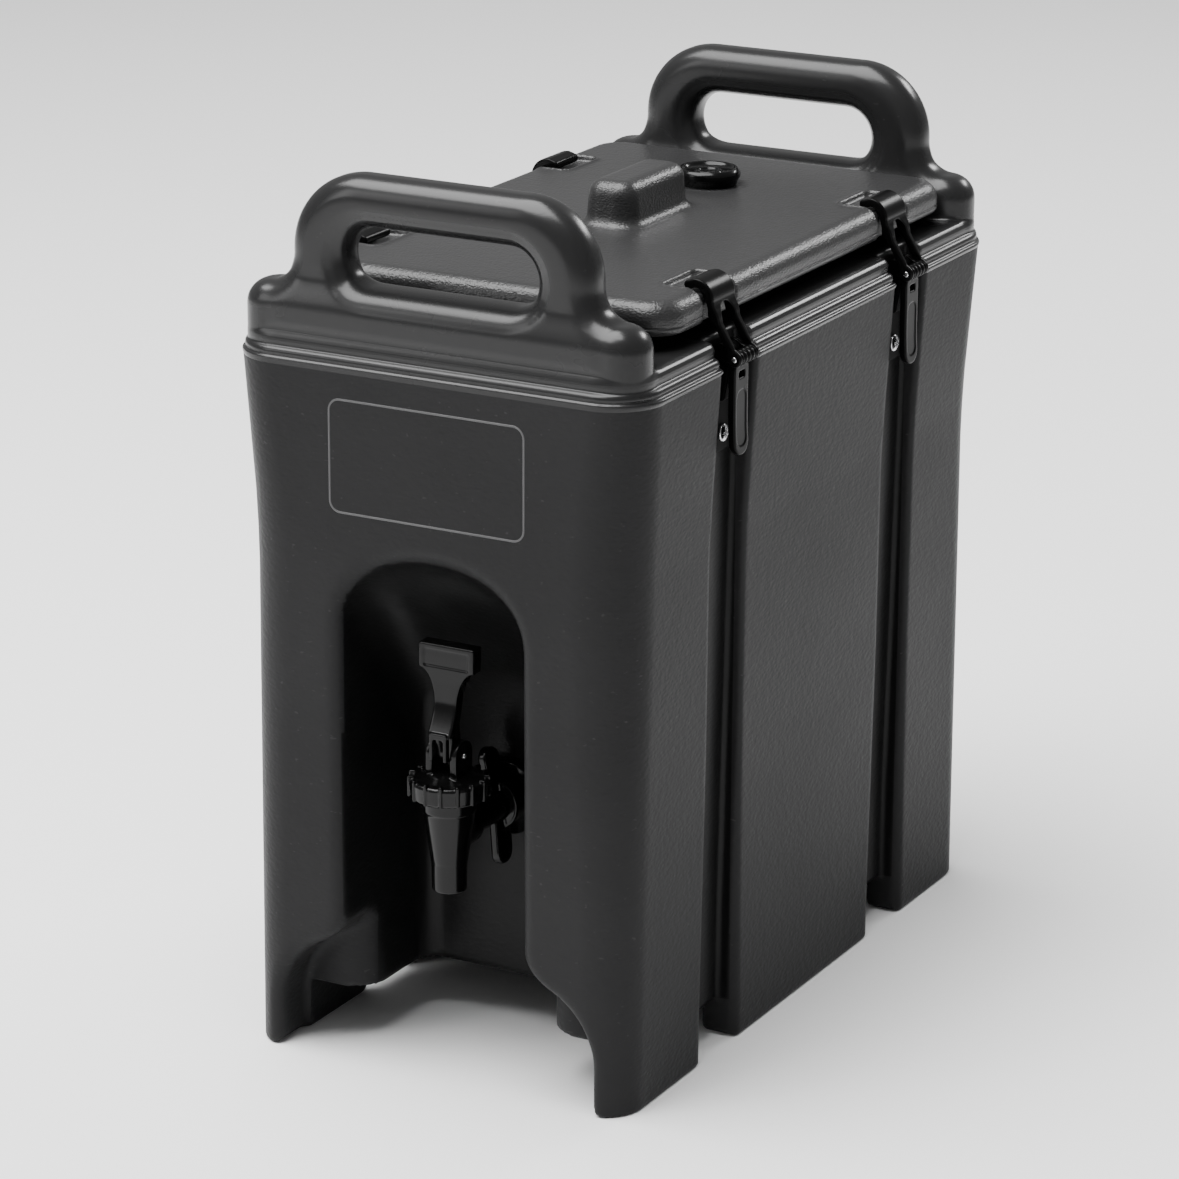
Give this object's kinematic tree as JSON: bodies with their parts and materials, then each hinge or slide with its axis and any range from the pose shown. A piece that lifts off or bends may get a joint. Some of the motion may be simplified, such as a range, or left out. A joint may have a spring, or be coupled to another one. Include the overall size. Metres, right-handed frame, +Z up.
{
  "type": "insulated beverage dispenser",
  "caption": "Free-standing insulated gravity-feed drinks dispenser with a latched lift-off lid, carrying handles and a lift faucet in a mug bay.",
  "frame": {"origin": "middle of the footprint, on the surface that the runners stand on", "axes": "+Z up, the faucet side faces -Y, +X towards the right of the body"},
  "size_m": [0.2468, 0.4194, 0.467],
  "materials": {
    "shell_plastic": "fine pebble grain",
    "lid_plastic": "fine pebble grain",
    "foam": "foam",
    "plug_plastic": "matt",
    "seal_rubber": "matt",
    "latch_nylon": "semi gloss",
    "steel": "bright",
    "cap_plastic": "gloss",
    "faucet_plastic": "gloss"
  },
  "bodies": {
    "root": {"body_front_grip": "shell_plastic", "body_front_right_post": "shell_plastic", "body_front_left_post": "shell_plastic", "body_front_hump": "shell_plastic", "body_rear_grip": "shell_plastic", "body_rear_right_post": "shell_plastic", "body_rear_left_post": "shell_plastic", "body_rear_hump": "shell_plastic", "body_right_runner": "shell_plastic", "body_right_column": "shell_plastic", "body_right_wall": "shell_plastic", "body_left_runner": "shell_plastic", "body_left_column": "shell_plastic", "body_left_wall": "shell_plastic", "body_front_panel": "shell_plastic", "body_bay_ceiling": "shell_plastic", "body_bay_back": "shell_plastic", "body_rear_wall": "shell_plastic", "body_tank_floor": "shell_plastic", "body_foam": "foam", "foam_plugs": "plug_plastic", "latch_screws": "steel", "faucet_body": "faucet_plastic", "bonnet": "faucet_plastic", "bonnet_gasket": "seal_rubber", "valve_spring": "steel", "handle_pin": "steel", "wing_nut": "faucet_plastic", "shank_washer": "faucet_plastic", "shank_gasket": "seal_rubber", "inner_gasket": "seal_rubber", "inner_nut": "faucet_plastic", "front_right_bracket": "latch_nylon", "front_right_lever_pin": "steel", "front_left_bracket": "latch_nylon", "front_left_lever_pin": "steel", "rear_right_bracket": "latch_nylon", "rear_right_lever_pin": "steel", "rear_left_bracket": "latch_nylon", "rear_left_lever_pin": "steel"},
    "lid": {"lid_shell": "lid_plastic", "lid_foam": "foam", "lid_gasket": "seal_rubber", "vent_seal": "seal_rubber"},
    "vent_cap": {"vent_cap": "cap_plastic"},
    "valve": {"valve_stem": "faucet_plastic", "seat_cup": "seal_rubber"},
    "faucet_handle": {"faucet_handle": "faucet_plastic"},
    "front_right_lever": {"front_right_lever": "latch_nylon", "front_right_hook_pin": "steel"},
    "front_right_hook": {"front_right_hook": "latch_nylon"},
    "front_left_lever": {"front_left_lever": "latch_nylon", "front_left_hook_pin": "steel"},
    "front_left_hook": {"front_left_hook": "latch_nylon"},
    "rear_right_lever": {"rear_right_lever": "latch_nylon", "rear_right_hook_pin": "steel"},
    "rear_right_hook": {"rear_right_hook": "latch_nylon"},
    "rear_left_lever": {"rear_left_lever": "latch_nylon", "rear_left_hook_pin": "steel"},
    "rear_left_hook": {"rear_left_hook": "latch_nylon"}
  },
  "joints": [
    {"name": "lid_lift", "type": "slide", "parent": "root", "child": "lid", "axis": [0, 0, 1], "range_m": [0, 0.03]},
    {"name": "vent_turn", "type": "hinge", "parent": "lid", "child": "vent_cap", "pos_m": [0, 0.092, 0.415], "axis": [0, 0, 1], "range_deg": [0, 90]},
    {"name": "handle_pull", "type": "hinge", "parent": "root", "child": "faucet_handle", "pos_m": [0, -0.188, 0.173], "axis": [1, 0, 0], "range_deg": [0, 35], "stiffness_Nm_per_rad": 0.4, "springref_deg": -11.46},
    {"name": "valve_lift", "type": "slide", "parent": "root", "child": "valve", "axis": [0, 0, 1], "range_m": [0, 0.00401], "deforming": ["valve_spring"]},
    {"name": "front_right_lever_swing", "type": "hinge", "parent": "root", "child": "front_right_lever", "pos_m": [0.1105, -0.1006, 0.378], "axis": [0, -1, 0], "range_deg": [0, 90.5]},
    {"name": "front_right_hook_swing", "type": "hinge", "parent": "front_right_lever", "child": "front_right_hook", "pos_m": [0.119, -0.1006, 0.376], "axis": [0, 1, 0], "range_deg": [0, 140.5]},
    {"name": "front_left_lever_swing", "type": "hinge", "parent": "root", "child": "front_left_lever", "pos_m": [-0.1105, -0.1006, 0.378], "axis": [0, 1, 0], "range_deg": [0, 90.5]},
    {"name": "front_left_hook_swing", "type": "hinge", "parent": "front_left_lever", "child": "front_left_hook", "pos_m": [-0.119, -0.1006, 0.376], "axis": [0, -1, 0], "range_deg": [0, 140.5]},
    {"name": "rear_right_lever_swing", "type": "hinge", "parent": "root", "child": "rear_right_lever", "pos_m": [0.1105, 0.1006, 0.378], "axis": [0, -1, 0], "range_deg": [0, 90.5]},
    {"name": "rear_right_hook_swing", "type": "hinge", "parent": "rear_right_lever", "child": "rear_right_hook", "pos_m": [0.119, 0.1006, 0.376], "axis": [0, 1, 0], "range_deg": [0, 140.5]},
    {"name": "rear_left_lever_swing", "type": "hinge", "parent": "root", "child": "rear_left_lever", "pos_m": [-0.1105, 0.1006, 0.378], "axis": [0, 1, 0], "range_deg": [0, 90.5]},
    {"name": "rear_left_hook_swing", "type": "hinge", "parent": "rear_left_lever", "child": "rear_left_hook", "pos_m": [-0.119, 0.1006, 0.376], "axis": [0, -1, 0], "range_deg": [0, 140.5]}
  ],
  "couplings": [
    {"joint": "valve_lift", "follows": "handle_pull", "m_per_rad": 0.006548},
    {"joint": "front_right_lever_swing", "follows": "lid_lift", "rad_per_m": 52.36},
    {"joint": "front_right_hook_swing", "follows": "lid_lift", "rad_per_m": 81.449},
    {"joint": "front_left_lever_swing", "follows": "lid_lift", "rad_per_m": 52.36},
    {"joint": "front_left_hook_swing", "follows": "lid_lift", "rad_per_m": 81.449},
    {"joint": "rear_right_lever_swing", "follows": "lid_lift", "rad_per_m": 52.36},
    {"joint": "rear_right_hook_swing", "follows": "lid_lift", "rad_per_m": 81.449},
    {"joint": "rear_left_lever_swing", "follows": "lid_lift", "rad_per_m": 52.36},
    {"joint": "rear_left_hook_swing", "follows": "lid_lift", "rad_per_m": 81.449}
  ]
}
